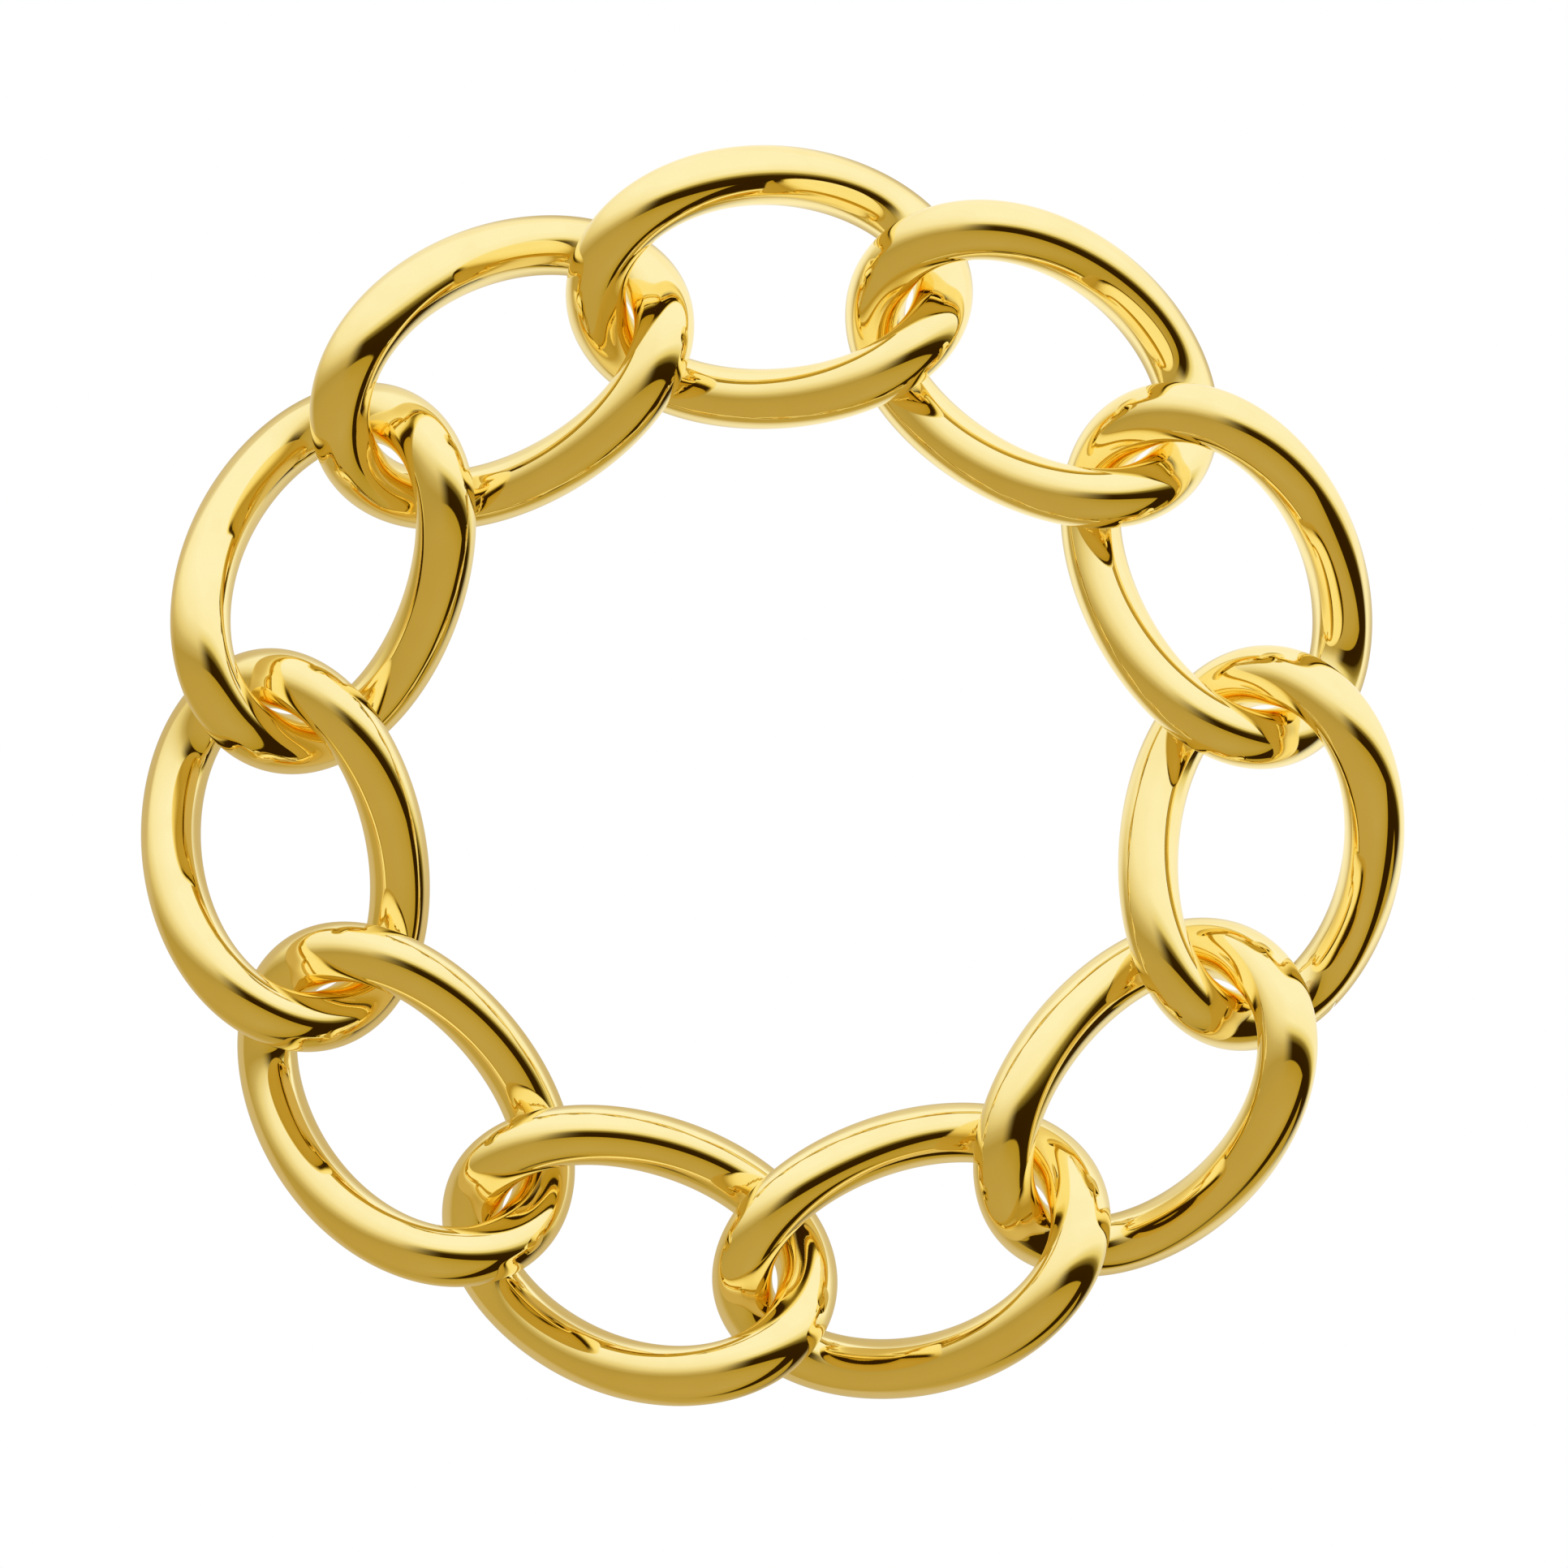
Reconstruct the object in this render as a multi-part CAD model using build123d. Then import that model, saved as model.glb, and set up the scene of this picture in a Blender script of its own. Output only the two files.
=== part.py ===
from build123d import *
import os
from math import asin, atan2, ceil, cos, degrees, pi, radians, sin

import numpy as np

# ---- driving dimensions, in millimetres and degrees ----
WIRE = 8.0  # diameter of the round wire
LINK_LENGTH = 54.4  # one link outside, tip to tip
LINK_WIDTH = 37.8  # one link outside, side to side
TWIST_RISE = 6.3  # height that the twist gives the wire either side of each tip
LINK_COUNT = 11  # links round the neck, the clasp link among them
PLAY = 0.42  # free gap between the wires of two links

# how the chain lies, closed, on a flat surface
TILT = 6.0  # every link lies with its leading tip this much lower
FIRST_PLACE = -8.0  # where the clasp link lies round the ring, from +X towards +Y
SLEWS = (2, 2, -1, 1, -5, 3, 3, -2, -3, 1, 0)  # how far each link lies off the ring's own line

# the clasp link: two halves, a hinge between them and a tongue that fits a socket
HINGE_AT = 35.0  # place of the hinge round the link, from its leading tip
PIN_ROLL = -10.0  # how far the hinge pin is rolled round the wire, from upright
MOUTH_AT = 220.0  # place of the mouth that the hinged half opens
KNUCKLE = 7.96  # diameter of the hinge's round leaves
LEAF = 3.0  # thickness of the middle leaf
PIN = 1.6  # diameter of the hinge pin
RUNNING = 0.12  # running clearance of the hinge's leaves and of the tongue
PIN_PLAY = 0.05  # running clearance round the pin, in the middle leaf
MOUTH_GAP = 0.1  # hairline between the two halves at the mouth
TONGUE_WIDTH = 2.6
TONGUE_HEIGHT = 2.4
TONGUE_REACH = 3.6  # how far the tongue enters the socket
TONGUE_ROOT = 2.5  # how far the tongue is set into the hinged half

SPANS = 12  # spans of the curve along half a link
SAMPLES = 240  # points for measuring the gap between two links


# ---- one link, lying along X, leading tip at +X, outer side at +Y ----
def centre(turn):
    """The wire's centre at an angle round the link: an oval from above, twisted one way at the
    leading tip and the other way at the trailing tip."""
    t = radians(turn)
    return Vector(
        (LINK_LENGTH - WIRE) / 2 * cos(t),
        (LINK_WIDTH - WIRE) / 2 * sin(t),
        -TWIST_RISE * sin(2 * t),
    )


def direction(turn):
    """The way that the wire runs at an angle round the link."""
    t = radians(turn)
    return Vector(
        -(LINK_LENGTH - WIRE) / 2 * sin(t),
        (LINK_WIDTH - WIRE) / 2 * cos(t),
        -2 * TWIST_RISE * cos(2 * t),
    ).normalized()


def wire_between(start, end):
    """The round wire from one angle round the link to another."""
    spans = ceil(SPANS * (end - start) / 180)
    path = Spline(
        [centre(start + (end - start) * i / spans) for i in range(spans + 1)],
        tangents=[direction(start), direction(end)],
    )
    section = Plane(origin=path @ 0, z_dir=path % 0) * Circle(WIRE / 2)
    return sweep(section, path=path)


def closed_link():
    """A whole link: two like halves, each round one tip."""
    half = wire_between(-90, 90)
    return half + half.rotate(Axis.Z, 180)


# ---- the clasp link, in the same place as a whole link ----
def hinge_frame():
    """The hinge's own frame: X runs along the wire, Z is the pin, rolled round the wire."""
    along = direction(HINGE_AT)
    upright = Vector(0, 0, 1) - along * along.Z
    return Plane(centre(HINGE_AT), x_dir=along, z_dir=upright.rotate(Axis((0, 0, 0), along), PIN_ROLL))


def at_hinge(solid):
    return hinge_frame().location * solid


def hinged_side(mouth_gap):
    """A tall block over the part of the link that swings: its two ends are square to the wire."""
    near, far = 0.8 * WIRE, LINK_LENGTH
    ends = []
    for turn, sense in ((HINGE_AT, -1), (MOUTH_AT, 1)):
        tangent = direction(turn)
        ahead = Vector(tangent.X, tangent.Y).normalized()
        outward = Vector(ahead.Y, -ahead.X)
        edge = Vector(centre(turn).X, centre(turn).Y)
        if turn == MOUTH_AT:
            edge += ahead * mouth_gap
        ends.append((edge - outward * near, edge + outward * far, edge + (outward + ahead * sense) * far))
    (hinge_in, hinge_out, hinge_far), (mouth_in, mouth_out, mouth_far) = ends
    outline = Polyline(hinge_far, hinge_out, hinge_in, mouth_in, mouth_out, mouth_far, close=True)
    return extrude(make_face(outline), LINK_LENGTH / 2, both=True)


def swept_tongue(reach, root, grow):
    """A bar on the arc that the mouth takes round the hinge: reach into the socket, root into the
    hinged half, with its section grown on every side."""
    mouth = hinge_frame().to_local_coords(centre(MOUTH_AT))
    radius = (mouth.X**2 + mouth.Y**2) ** 0.5
    section = Rectangle(TONGUE_WIDTH + 2 * grow, TONGUE_HEIGHT + 2 * grow)
    bar = revolve(Pos(radius, 0, 0) * Rot(90, 0, 0) * section, Axis.Z, degrees((reach + root) / radius))
    start = degrees(atan2(mouth.Y, mouth.X) - reach / radius)
    return at_hinge(Pos(0, 0, mouth.Z) * Rot(0, 0, start) * bar)


def clasp_tongue():
    return swept_tongue(TONGUE_REACH, TONGUE_ROOT, 0)


def hinge_pin(link):
    """A plain pin, dressed flush with the wire at both ends."""
    return link & at_hinge(Cylinder(PIN / 2, 2 * WIRE))


def clasp_fixed_half(link):
    """The outer side and the trailing tip, with the hinge's two outer leaves and the socket."""
    gap = Box(3 * WIRE, 3 * WIRE, LEAF + 2 * RUNNING)
    leaves = at_hinge(Cylinder(KNUCKLE / 2, 2 * WIRE) - gap)
    slot = at_hinge(Cylinder(KNUCKLE / 2 + RUNNING, LEAF + 2 * RUNNING))
    body = link - (hinged_side(0) - leaves + slot)
    body -= at_hinge(Cylinder(PIN / 2, 3 * WIRE))
    return body - swept_tongue(TONGUE_REACH + RUNNING, TONGUE_ROOT, RUNNING)


def clasp_hinged_half(link):
    """The inner side and the leading tip, with the hinge's middle leaf and the tongue's pocket."""
    leaf = at_hinge(Cylinder(KNUCKLE / 2, LEAF))
    room = at_hinge(Cylinder(KNUCKLE / 2 + RUNNING, 2 * WIRE) - Box(3 * WIRE, 3 * WIRE, LEAF))
    body = link & (hinged_side(MOUTH_GAP) - room + leaf)
    body -= at_hinge(Cylinder(PIN / 2 + PIN_PLAY, 3 * WIRE))
    return body - swept_tongue(TONGUE_REACH, TONGUE_ROOT, 0)


# ---- how the links lie ----
def turned(points, axis, angle):
    """Points turned about the Y or Z axis."""
    c, s = cos(radians(angle)), sin(radians(angle))
    matrix = {"Y": ((c, 0, s), (0, 1, 0), (-s, 0, c)), "Z": ((c, -s, 0), (s, c, 0), (0, 0, 1))}
    return points @ np.array(matrix[axis]).T


def tilted_centres():
    """Points along the wire's centre of a link that lies as it does in the chain."""
    turns = np.linspace(0, 360, SAMPLES, endpoint=False)
    return turned(np.array([tuple(centre(t)) for t in turns]), "Y", TILT)


def gap(one, other):
    """The free gap between the wires of two links."""
    return np.sqrt(((one[:, None] - other[None]) ** 2).sum(-1)).min() - WIRE


def pitch(turn):
    """The furthest that the next link can lie when the chain turns by this angle there."""
    one = tilted_centres()
    other = turned(one, "Z", -turn)
    way = np.array((cos(radians(turn / 2)), -sin(radians(turn / 2)), 0))
    far = LINK_LENGTH - WIRE
    near = far
    while gap(one, other + way * near) < PLAY:
        far, near = near, near - WIRE / 16
    for _ in range(12):
        middle = (near + far) / 2
        if gap(one, other + way * middle) < PLAY:
            far = middle
        else:
            near = middle
    return near


def lay_chain():
    """Each link's place and heading, from the clasp link round towards +Y: the links lie on one
    circle, and each pitch is a chord of it."""
    mean_turn = 360 / LINK_COUNT
    slews = [SLEWS[i % len(SLEWS)] for i in range(LINK_COUNT)]
    pitches = [
        pitch(mean_turn + slews[(i + 1) % LINK_COUNT] - slews[i]) for i in range(LINK_COUNT)
    ]
    small, large = max(pitches) / 2, LINK_COUNT * max(pitches)
    for _ in range(60):
        radius = (small + large) / 2
        steps = [2 * degrees(asin(p / 2 / radius)) for p in pitches]
        if sum(steps) > 360:
            small = radius
        else:
            large = radius
    places = [FIRST_PLACE + sum(steps[:i]) for i in range(LINK_COUNT)]
    spots = [
        (radius * cos(radians(p)), radius * sin(radians(p)), p - 90 + slew)
        for p, slew in zip(places, slews)
    ]
    one = tilted_centres()
    cloud = np.vstack([turned(one, "Z", heading) + (x, y, 0) for x, y, heading in spots])
    low, high = cloud.min(0), cloud.max(0)
    shift = (-(low[0] + high[0]) / 2, -(low[1] + high[1]) / 2, WIRE / 2 - low[2])
    return [
        Pos(x + shift[0], y + shift[1], shift[2]) * Rot(0, 0, heading) * Rot(0, TILT, 0)
        for x, y, heading in spots
    ]


# ---- the whole necklace, closed and lying flat ----
def necklace():
    """Every piece by name, where it lies."""
    link = closed_link()
    clasp_spot, *spots = lay_chain()
    pieces = {
        "clasp_fixed_half": clasp_spot * clasp_fixed_half(link),
        "clasp_hinged_half": clasp_spot * clasp_hinged_half(link),
        "clasp_hinge_pin": clasp_spot * hinge_pin(link),
        "clasp_tongue": clasp_spot * clasp_tongue(),
    }
    for number, spot in enumerate(spots, 1):
        pieces[f"link_{number:02d}"] = spot * link
    return pieces


if __name__ == "__main__":
    os.makedirs("parts", exist_ok=True)
    for name, solid in necklace().items():
        export_step(solid, f"parts/{name}.step")
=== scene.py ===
import bpy
import numpy as np
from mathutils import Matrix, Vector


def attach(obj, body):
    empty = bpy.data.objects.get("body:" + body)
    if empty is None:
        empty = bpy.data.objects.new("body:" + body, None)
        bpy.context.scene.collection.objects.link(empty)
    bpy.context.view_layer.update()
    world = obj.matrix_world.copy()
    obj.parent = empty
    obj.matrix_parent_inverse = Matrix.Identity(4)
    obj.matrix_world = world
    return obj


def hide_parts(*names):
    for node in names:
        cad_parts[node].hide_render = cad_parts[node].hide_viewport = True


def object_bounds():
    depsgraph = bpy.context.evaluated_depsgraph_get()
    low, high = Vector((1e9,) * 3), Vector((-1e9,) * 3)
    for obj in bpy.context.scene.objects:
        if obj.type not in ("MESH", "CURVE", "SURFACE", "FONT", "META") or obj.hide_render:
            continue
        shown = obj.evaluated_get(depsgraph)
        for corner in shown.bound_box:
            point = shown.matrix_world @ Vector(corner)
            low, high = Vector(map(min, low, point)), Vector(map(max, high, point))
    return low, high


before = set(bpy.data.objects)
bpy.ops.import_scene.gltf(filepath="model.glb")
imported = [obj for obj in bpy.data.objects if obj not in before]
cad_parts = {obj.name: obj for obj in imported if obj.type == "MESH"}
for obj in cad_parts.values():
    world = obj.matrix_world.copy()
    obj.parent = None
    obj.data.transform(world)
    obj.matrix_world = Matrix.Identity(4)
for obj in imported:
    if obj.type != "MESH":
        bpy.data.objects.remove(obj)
CAD_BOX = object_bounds()

# ---- one link, as in the part's source, in metres ----
WIRE = 0.008  # diameter of the round wire
LINK_LENGTH = 0.0544  # outside, tip to tip
LINK_WIDTH = 0.0378  # outside, side to side
TWIST_RISE = 0.0063  # height that the twist gives the wire either side of each tip

# ---- the smooth pieces ----
ALONG = 288  # facets along the wire, all round a link
AROUND = 48  # facets round the wire
ON_WIRE = 0.0002  # a point of the clasp this near to the wire's round counts as lying on it
FACING = 0.9  # and is lit as round in each facet that faces the same way, by this cosine or more
NEAREST_STEPS = 3  # steps that refine the nearest place along the wire
CLASP_BODIES = {"clasp_fixed_half": "clasp_link", "clasp_hinged_half": "clasp_gate"}

# ---- the view ----
VIEW_HEIGHT = 1.6  # camera above the chain's mid-height, metres
VIEW_WIDTH = 0.2087  # width that the picture takes in there
VIEW_CENTRE = (0.0017, -0.0013)  # the picture's middle, beside the necklace's own
SENSOR = 36.0  # millimetres
NEAR_CLIP, FAR_CLIP = 0.05, 10.0
MIRRORINGS = 16  # the links mirror each other many times over where they hook together

# ---- the studio, as directions from the necklace: +X is the picture's right, +Y its top ----
# Going from the warm card at -Y to the bright tent at +Y, as colours at distances from the join.
JOIN_DROP = 0.37  # on the right the join drops towards -Y as it nears the table
RIGHT_FROM, RIGHT_TO = -0.35, 0.35  # the left side's lights give way to the right side's here
SKIRT_FROM, SKIRT_RISE = 0.25, 0.42  # from here to the right the slot also runs along the table
SKIRT_FOOT = 0.06  # and ends this far below the table's edge
SKIRT_FADE = 1.5  # how much faster than elsewhere the lights change there
RIGHT_LIGHTS = (
    (-0.90, (0.55, 0.41, 0.15)),
    (-0.35, (0.51, 0.36, 0.08)),
    (-0.09, (0.45, 0.30, 0.03)),
    (-0.07, (0.03, 0.012, 0.0)),
    (0.20, (0.035, 0.016, 0.0)),
    (0.31, (0.28, 0.20, 0.04)),
    (0.40, (0.80, 0.69, 0.32)),
    (0.57, (0.99, 0.96, 0.85)),
    (0.90, (1.0, 1.0, 1.0)),
)
LEFT_LIGHTS = (
    (-0.90, (0.53, 0.38, 0.11)),
    (-0.30, (0.51, 0.365, 0.10)),
    (-0.02, (0.46, 0.335, 0.09)),
    (0.15, (0.59, 0.47, 0.21)),
    (0.30, (0.79, 0.68, 0.40)),
    (0.55, (0.96, 0.91, 0.76)),
    (0.90, (1.0, 1.0, 1.0)),
)
BACKGROUND = (1.0, 1.0, 1.0, 1.0)  # what the camera sees of it instead

# ---- the table ----
TABLE_REACH = 3.0  # from its middle to its edges
TABLE_DROP = 0.0002  # how far it lies below the chain, so that nothing touches it
TABLE_PAINT = (0.9, 0.9, 0.9, 1.0)
TABLE_NEAR, TABLE_FAR = 0.018, 0.045  # its mirror image in the metal fades out between these
TABLE_PAINTED_SHADE = (0.60, 0.50, 0.33)  # painted shade: that image's colour close under the wire, darker where the wire would shade the table
TABLE_CLOSE, TABLE_OPEN = 0.004, 0.016  # how far off the wire the painted shade under it stops
TABLE_DIM = (0.62, 0.50, 0.30)  # painted shade: the image clear of the wire, darker at the lower left
TABLE_LIT = (1.0, 0.96, 0.86)  # painted light: and lighter at the upper right
TABLE_SPREAD = 0.08  # sum of X and Y either side of the middle, between the two

# ---- the metal ----
PLATE = {"colour": (1.0, 0.875, 0.46), "roughness": 0.035, "marks": 0.04}
CLASP_METAL = {"colour": (0.86, 0.68, 0.32), "roughness": 0.12, "marks": 0.2}
LUSTRE_SCALE, LUSTRE_DETAIL = 180.0, 3.0  # blotches of uneven lustre, per metre
LUSTRE_FROM, LUSTRE_TO = 0.35, 0.65  # noise values that the tint changes between
LUSTRE_TINT = (0.985, 0.975, 0.94)  # the duller blotches' colour, as shares of the metal's own
LUSTRE_LEAST, LUSTRE_MOST = 0.8, 1.3  # the blotches' roughness, as shares of the metal's own
MARKS_SCALE, MARKS_DETAIL = 2600.0, 4.0  # fine polishing marks, per metre
MARKS_DEPTH = 0.00001


# ---- shader nodes ----
def add_node(tree, kind, **values):
    """A new shader node. Each value goes to the socket of that name, or else to the setting."""
    made = tree.nodes.new(kind)
    for name, value in values.items():
        if name in made.inputs.keys():
            made.inputs[name].default_value = value
        else:
            setattr(made, name, value)
    return made


def join(tree, source, out, target, into):
    tree.links.new(source.outputs[out], target.inputs[into])


def maths(tree, operation, first, second):
    made = add_node(tree, "ShaderNodeMath", operation=operation)
    for socket, value in zip(made.inputs, (first, second)):
        if isinstance(value, float):
            socket.default_value = value
        else:
            tree.links.new(value, socket)
    return made.outputs[0]


def smooth_step(tree, value, low, high):
    made = add_node(tree, "ShaderNodeMapRange", interpolation_type="SMOOTHSTEP")
    tree.links.new(value, made.inputs["Value"])
    made.inputs["From Min"].default_value = low
    made.inputs["From Max"].default_value = high
    return made.outputs["Result"]


def mixed(tree, factor, first, second):
    """A colour between two others, each of them a colour or a socket."""
    made = add_node(tree, "ShaderNodeMix", data_type="RGBA")
    tree.links.new(factor, made.inputs["Factor"])
    for name, value in (("A", first), ("B", second)):
        socket = [s for s in made.inputs if s.name == name and s.type == "RGBA"][0]
        if isinstance(value, tuple):
            socket.default_value = (*value, 1.0)
        else:
            tree.links.new(value, socket)
    return [s for s in made.outputs if s.type == "RGBA"][0]


def mixed_shader(tree, factor, first, second):
    made = add_node(tree, "ShaderNodeMixShader")
    tree.links.new(factor, made.inputs[0])
    join(tree, first, 0, made, 1)
    join(tree, second, 0, made, 2)
    return made


def lights_across(tree, distance, lights):
    """The colours of one side's lights, by distance from the join between card and tent. The
    distances run from -1 to 1, and the ramp's places from 0 to 1."""
    place = add_node(tree, "ShaderNodeMapRange")
    place.inputs["From Min"].default_value = -1.0
    tree.links.new(distance, place.inputs["Value"])
    made = add_node(tree, "ShaderNodeValToRGB")
    ramp = made.color_ramp
    while len(ramp.elements) < len(lights):
        ramp.elements.new(0.5)
    for element, (at, colour) in zip(ramp.elements, lights):
        element.position = (at + 1) / 2
        element.color = (*colour, 1)
    join(tree, place, "Result", made, "Fac")
    return made.outputs["Color"]


# ---- the surroundings ----
def in_scene(name, data):
    made = bpy.data.objects.new(name, data)
    bpy.context.scene.collection.objects.link(made)
    return made


def studio():
    """A warm card on one side and a bright tent on the other, with a dark slot between them on
    the right, all seen only in the metal."""
    world = bpy.data.worlds.new("studio")
    bpy.context.scene.world = world
    world.use_nodes = True
    tree = world.node_tree
    tree.nodes.clear()
    place = add_node(tree, "ShaderNodeTexCoord")
    split = add_node(tree, "ShaderNodeSeparateXYZ")
    join(tree, place, "Generated", split, "Vector")
    x, y, z = (split.outputs[n] for n in "XYZ")
    right = smooth_step(tree, x, RIGHT_FROM, RIGHT_TO)
    drop = maths(tree, "MULTIPLY", maths(tree, "SUBTRACT", 1.0, z), JOIN_DROP)
    distance = maths(tree, "ADD", y, maths(tree, "MULTIPLY", drop, right))
    skirt_top = maths(tree, "MULTIPLY", maths(tree, "SUBTRACT", x, SKIRT_FROM), SKIRT_RISE)
    skirt = maths(tree, "MINIMUM", maths(tree, "SUBTRACT", skirt_top, z), 0.0)
    skirt = maths(tree, "MINIMUM", skirt, maths(tree, "ADD", z, SKIRT_FOOT))
    distance = maths(tree, "MAXIMUM", distance, maths(tree, "MULTIPLY", skirt, SKIRT_FADE))
    left_side = lights_across(tree, distance, LEFT_LIGHTS)
    right_side = lights_across(tree, distance, RIGHT_LIGHTS)
    light = mixed(tree, right, left_side, right_side)
    shine = add_node(tree, "ShaderNodeBackground", Strength=1.0)
    tree.links.new(light, shine.inputs["Color"])
    white = add_node(tree, "ShaderNodeBackground", Color=BACKGROUND, Strength=1.0)
    rays = add_node(tree, "ShaderNodeLightPath")
    seen = mixed_shader(tree, rays.outputs["Is Camera Ray"], shine, white)
    out = add_node(tree, "ShaderNodeOutputWorld")
    join(tree, seen, 0, out, "Surface")


def table_paint():
    """Paint that the metal mirrors close by and from above, as a glow with painted shade close
    under the wire and painted light and shade from the lower left to the upper right. The camera
    looks through it to the white all round, so links that fold below the table stay in view."""
    paint = bpy.data.materials.new("table_white")
    paint.use_nodes = True
    tree = paint.node_tree
    tree.nodes.clear()
    matt = add_node(tree, "ShaderNodeBsdfDiffuse", Color=TABLE_PAINT)
    rays = add_node(tree, "ShaderNodeLightPath")
    place = add_node(tree, "ShaderNodeTexCoord")
    split = add_node(tree, "ShaderNodeSeparateXYZ")
    join(tree, place, "Object", split, "Vector")
    # painted light and shade: the image grows lighter from the lower left to the upper right
    across = maths(tree, "ADD", split.outputs["X"], split.outputs["Y"])
    across = smooth_step(tree, across, -TABLE_SPREAD, TABLE_SPREAD)
    # painted shade: the table's image in the metal is darker close under the wire
    clear_of_wire = smooth_step(tree, rays.outputs["Ray Length"], TABLE_CLOSE, TABLE_OPEN)
    colour = mixed(tree, clear_of_wire, TABLE_PAINTED_SHADE, mixed(tree, across, TABLE_DIM, TABLE_LIT))
    # the metal sees the table as a glow in these painted colours, not as lit paint
    painted_glow_in_metal = add_node(tree, "ShaderNodeEmission")
    tree.links.new(colour, painted_glow_in_metal.inputs["Color"])
    clear = add_node(tree, "ShaderNodeBsdfTransparent")
    far = smooth_step(tree, rays.outputs["Ray Length"], TABLE_NEAR, TABLE_FAR)
    in_metal = mixed_shader(tree, far, painted_glow_in_metal, clear)
    side = add_node(tree, "ShaderNodeNewGeometry")
    in_metal = mixed_shader(tree, side.outputs["Backfacing"], in_metal, clear)
    lit = mixed_shader(tree, rays.outputs["Is Glossy Ray"], matt, in_metal)
    seen = mixed_shader(tree, rays.outputs["Is Camera Ray"], lit, clear)
    out = add_node(tree, "ShaderNodeOutputMaterial")
    join(tree, seen, 0, out, "Surface")
    return paint


def table():
    r = TABLE_REACH
    mesh = bpy.data.meshes.new("table")
    mesh.from_pydata([(-r, -r, 0), (r, -r, 0), (r, r, 0), (-r, r, 0)], [], [(0, 1, 2, 3)])
    mesh.materials.append(table_paint())
    top = in_scene("table", mesh)
    top.location.z = CAD_BOX[0].z - TABLE_DROP


def camera():
    """The camera looks straight down on the necklace."""
    eye = bpy.data.cameras.new("camera")
    eye.sensor_width = SENSOR
    eye.lens = SENSOR * VIEW_HEIGHT / VIEW_WIDTH
    eye.clip_start, eye.clip_end = NEAR_CLIP, FAR_CLIP
    made = in_scene("camera", eye)
    middle = (CAD_BOX[0] + CAD_BOX[1]) / 2
    level = CAD_BOX[1].z / 2
    made.location = (middle.x + VIEW_CENTRE[0], middle.y + VIEW_CENTRE[1], level + VIEW_HEIGHT)
    bpy.context.scene.camera = made


# ---- the metal ----
def gold(name, colour, roughness, marks):
    """Polished gold plate: a hint of polishing marks and of uneven lustre under the shine."""
    metal = bpy.data.materials.new(name)
    metal.use_nodes = True
    tree = metal.node_tree
    surface = tree.nodes["Principled BSDF"]
    surface.inputs["Metallic"].default_value = 1.0
    place = add_node(tree, "ShaderNodeTexCoord")
    blotch = add_node(tree, "ShaderNodeTexNoise", Scale=LUSTRE_SCALE, Detail=LUSTRE_DETAIL)
    join(tree, place, "Object", blotch, "Vector")
    tint = add_node(tree, "ShaderNodeValToRGB")
    low, high = tint.color_ramp.elements
    low.position, high.position = LUSTRE_FROM, LUSTRE_TO
    low.color = (*[c * s for c, s in zip(colour, LUSTRE_TINT)], 1)
    high.color = (*colour, 1)
    join(tree, blotch, "Fac", tint, "Fac")
    join(tree, tint, "Color", surface, "Base Color")
    sheen = add_node(tree, "ShaderNodeMapRange")
    sheen.inputs["To Min"].default_value = roughness * LUSTRE_LEAST
    sheen.inputs["To Max"].default_value = roughness * LUSTRE_MOST
    join(tree, blotch, "Fac", sheen, "Value")
    join(tree, sheen, "Result", surface, "Roughness")
    fine = add_node(tree, "ShaderNodeTexNoise", Scale=MARKS_SCALE, Detail=MARKS_DETAIL)
    join(tree, place, "Object", fine, "Vector")
    bump = add_node(tree, "ShaderNodeBump", Strength=marks, Distance=MARKS_DEPTH)
    join(tree, fine, "Fac", bump, "Height")
    join(tree, bump, "Normal", surface, "Normal")
    return metal


# ---- one link's wire, for a link that lies along X with its middle at the origin ----
def full_turn(steps):
    """Angles all the way round, in even steps."""
    return np.linspace(0, 2 * np.pi, steps, endpoint=False)


def centre(turn):
    """The wire's centre at angles round the link, one row for each angle."""
    return np.stack(
        (
            (LINK_LENGTH - WIRE) / 2 * np.cos(turn),
            (LINK_WIDTH - WIRE) / 2 * np.sin(turn),
            -TWIST_RISE * np.sin(2 * turn),
        ),
        axis=-1,
    )


def slope(turn):
    """How the wire's centre moves as the angle grows."""
    return np.stack(
        (
            -(LINK_LENGTH - WIRE) / 2 * np.sin(turn),
            (LINK_WIDTH - WIRE) / 2 * np.cos(turn),
            -2 * TWIST_RISE * np.cos(2 * turn),
        ),
        axis=-1,
    )


def unit(rows):
    return rows / np.linalg.norm(rows, axis=-1, keepdims=True)


# ---- where a link lies ----
def points_of(mesh):
    points = np.empty(len(mesh.vertices) * 3)
    mesh.vertices.foreach_get("co", points)
    return points.reshape(-1, 3)


def triangles_of(mesh):
    """The three corners of each of a mesh's triangles."""
    mesh.calc_loop_triangles()
    faces = np.empty(len(mesh.loop_triangles) * 3, dtype=np.int32)
    mesh.loop_triangles.foreach_get("vertices", faces)
    return points_of(mesh)[faces.reshape(-1, 3)]


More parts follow.
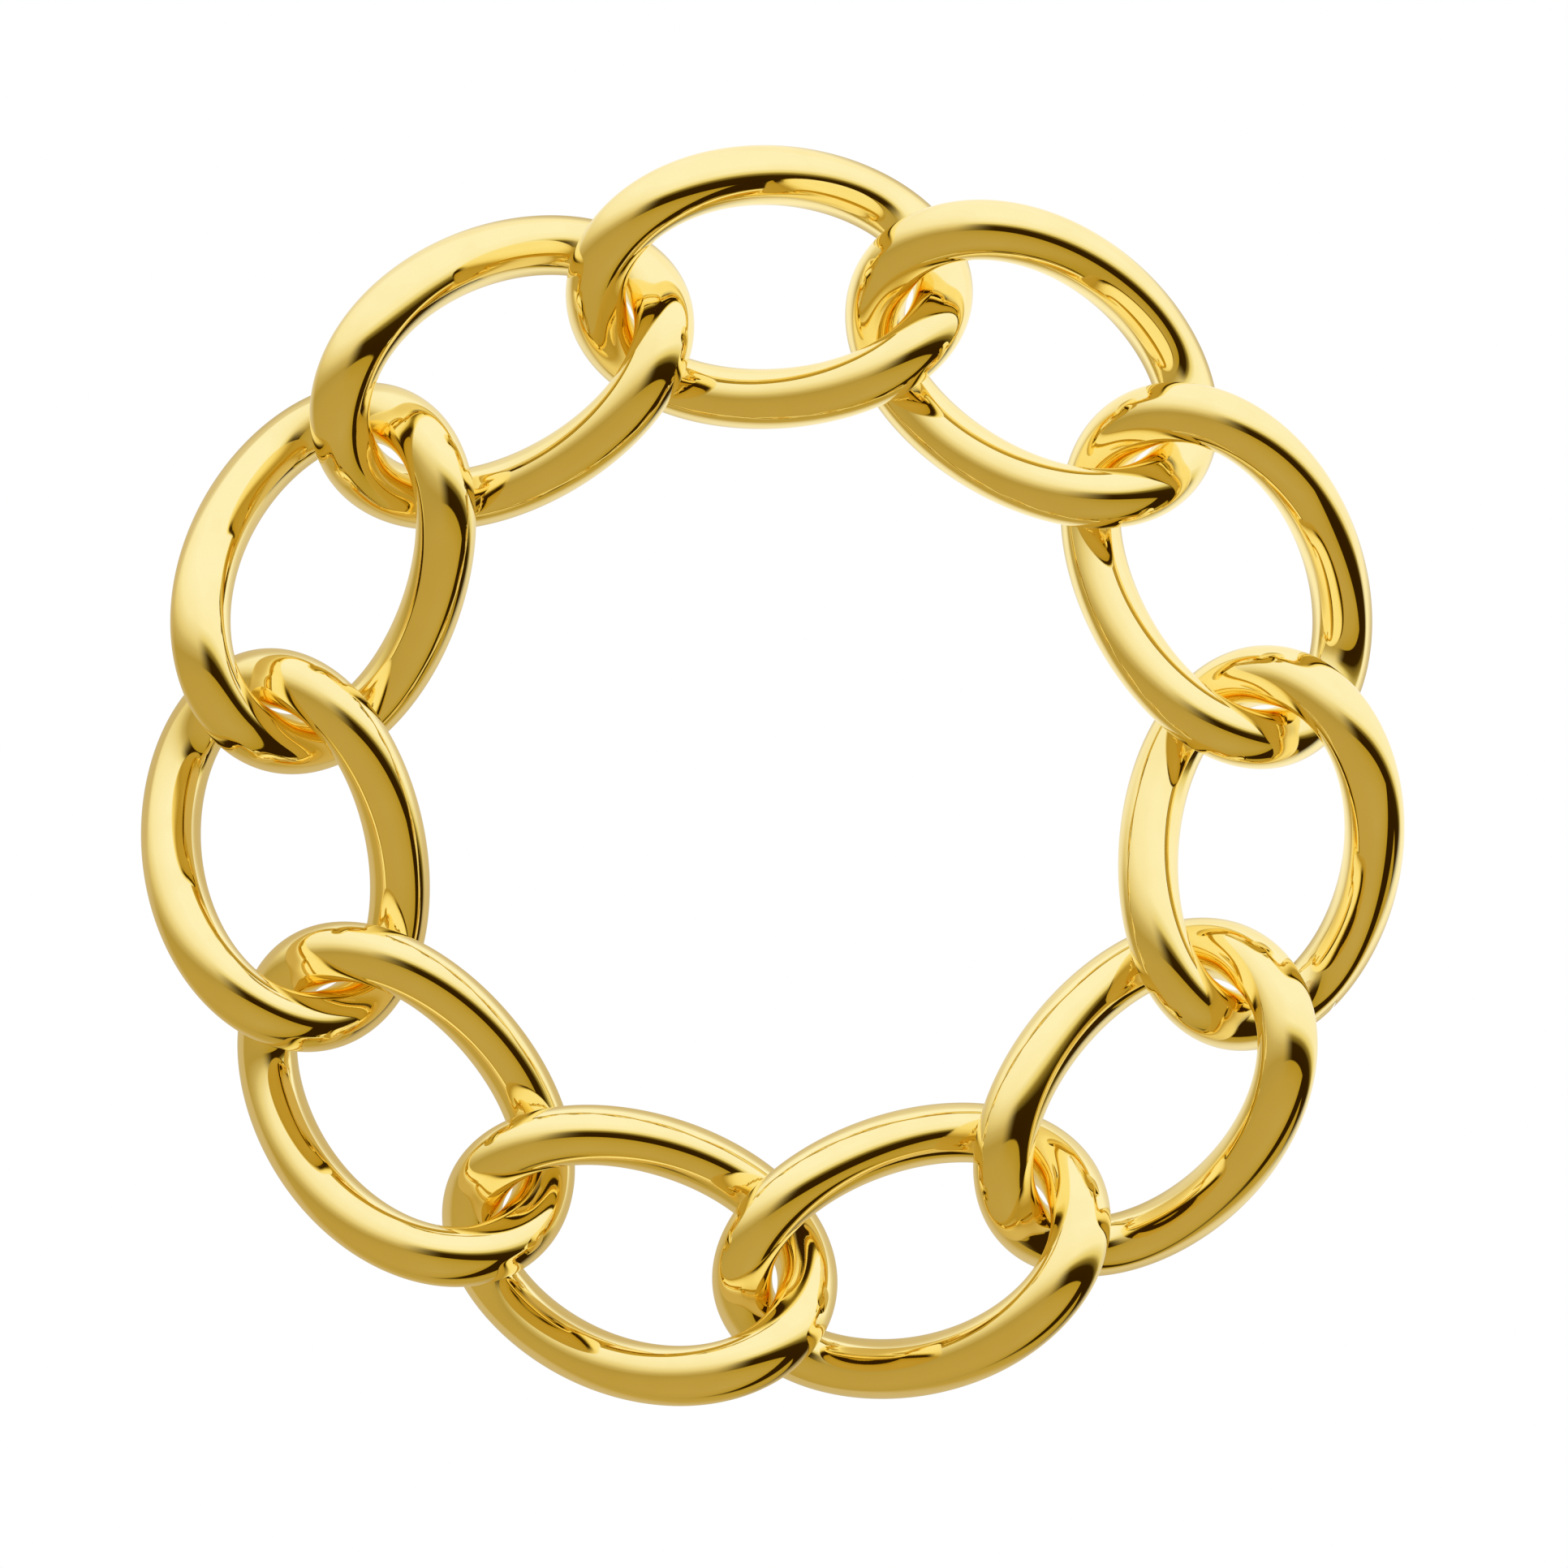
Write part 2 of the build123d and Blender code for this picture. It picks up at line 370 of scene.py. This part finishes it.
def lie_of(pieces):
    """Where a link lies: its middle, and its length, width and height as the rows of a turn.
    A link is the same when it is turned half round any of these, so their signs don't matter."""
    triangles = np.concatenate([triangles_of(piece.data) for piece in pieces])
    origin = triangles.mean((0, 1))
    triangles = triangles - origin
    # The sums go over the pyramids from the origin to each triangle. A pyramid's volume is a
    # sixth of its determinant, its middle is a quarter of its corners' sum, and its spread
    # about the origin is a twentieth of the squares of its corners and of their sum.
    volume = np.linalg.det(triangles) / 6
    total = volume.sum()
    sums = triangles.sum(1)
    middle = (volume[:, None] * sums / 4).sum(0) / total
    squares = np.einsum("n,nki,nkj->ij", volume, triangles, triangles)
    squares += np.einsum("n,ni,nj->ij", volume, sums, sums)
    spread = squares / 20 / total - np.outer(middle, middle)
    turn = np.linalg.eigh(spread)[1].T[::-1]
    turn[2] = np.cross(turn[0], turn[1])
    return origin + middle, turn


# ---- the smooth pieces ----
def stand_in(node_name, body, mesh, material):
    """A piece that stands for a CAD node, moves with its body and takes its finish."""
    mesh.materials.clear()
    mesh.materials.append(material)
    piece = in_scene(node_name + "_smooth", mesh)
    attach(piece, body)
    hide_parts(node_name)


def smooth_link(node_name, material):
    """A whole link swept smoothly in the place of its CAD node. Its body has the same name."""
    middle, turn = lie_of([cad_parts[node_name]])
    angles = full_turn(ALONG)
    middles, ways = centre(angles), unit(slope(angles))
    across = unit(np.cross(ways, (0.0, 0.0, 1.0)))
    over = np.cross(across, ways)
    round_angles = full_turn(AROUND)[:, None, None]
    rings = middles + WIRE / 2 * (np.cos(round_angles) * across + np.sin(round_angles) * over)
    points = rings.transpose(1, 0, 2).reshape(-1, 3) @ turn + middle
    faces = []
    for i in range(ALONG):
        for j in range(AROUND):
            here, ahead = i * AROUND, (i + 1) % ALONG * AROUND
            side = (j + 1) % AROUND
            faces.append((here + j, here + side, ahead + side, ahead + j))
    mesh = bpy.data.meshes.new(node_name + "_smooth")
    mesh.from_pydata(points.tolist(), [], faces)
    mesh.polygons.foreach_set("use_smooth", [True] * len(faces))
    stand_in(node_name, node_name, mesh, material)


def smooth_half(node_name, lie, material):
    """A half of the clasp link: a copy of its CAD mesh, with the points that lie on the wire
    drawn onto its true round and lit as round."""
    middle, turn = lie
    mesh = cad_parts[node_name].data.copy()
    mesh.name = node_name + "_smooth"
    local = (points_of(mesh) - middle) @ turn.T
    angles = full_turn(ALONG)
    steps = local[:, None, :] - centre(angles)[None]
    nearest = angles[(steps**2).sum(-1).argmin(1)]
    for _ in range(NEAREST_STEPS):
        way = slope(nearest)
        nearest = nearest + ((local - centre(nearest)) * way).sum(-1) / (way**2).sum(-1)
    out = local - centre(nearest)
    reach = np.linalg.norm(out, axis=1)
    out = out / reach[:, None]
    on_wire = np.abs(reach - WIRE / 2) < ON_WIRE
    local[on_wire] = (centre(nearest) + WIRE / 2 * out)[on_wire]
    mesh.vertices.foreach_set("co", (local @ turn + middle).ravel())
    mesh.update()
    out = out @ turn
    normals = []
    for face in mesh.polygons:
        flat = np.array(face.normal)
        for vertex in face.vertices:
            round_here = on_wire[vertex] and flat @ out[vertex] > FACING
            normals.append(tuple(out[vertex] if round_here else flat))
    mesh.polygons.foreach_set("use_smooth", [True] * len(mesh.polygons))
    mesh.normals_split_custom_set(normals)
    stand_in(node_name, CLASP_BODIES[node_name], mesh, material)


def necklace():
    """The links in smooth gold plate. The clasp's pin and tongue keep their CAD meshes."""
    plate = gold("gold_plate", **PLATE)
    inner = gold("clasp_metal", **CLASP_METAL)
    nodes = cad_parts
    clasp_lie = lie_of([piece for name, piece in nodes.items() if name.startswith("clasp")])
    for name, piece in nodes.items():
        if name in CLASP_BODIES:
            smooth_half(name, clasp_lie, plate)
        elif name.startswith("link"):
            smooth_link(name, plate)
        else:
            piece.data.materials.clear()
            piece.data.materials.append(inner)


studio()
table()
necklace()
camera()
bpy.context.scene.view_settings.view_transform = "Standard"
bpy.context.scene.cycles.max_bounces = MIRRORINGS
bpy.context.scene.cycles.glossy_bounces = MIRRORINGS
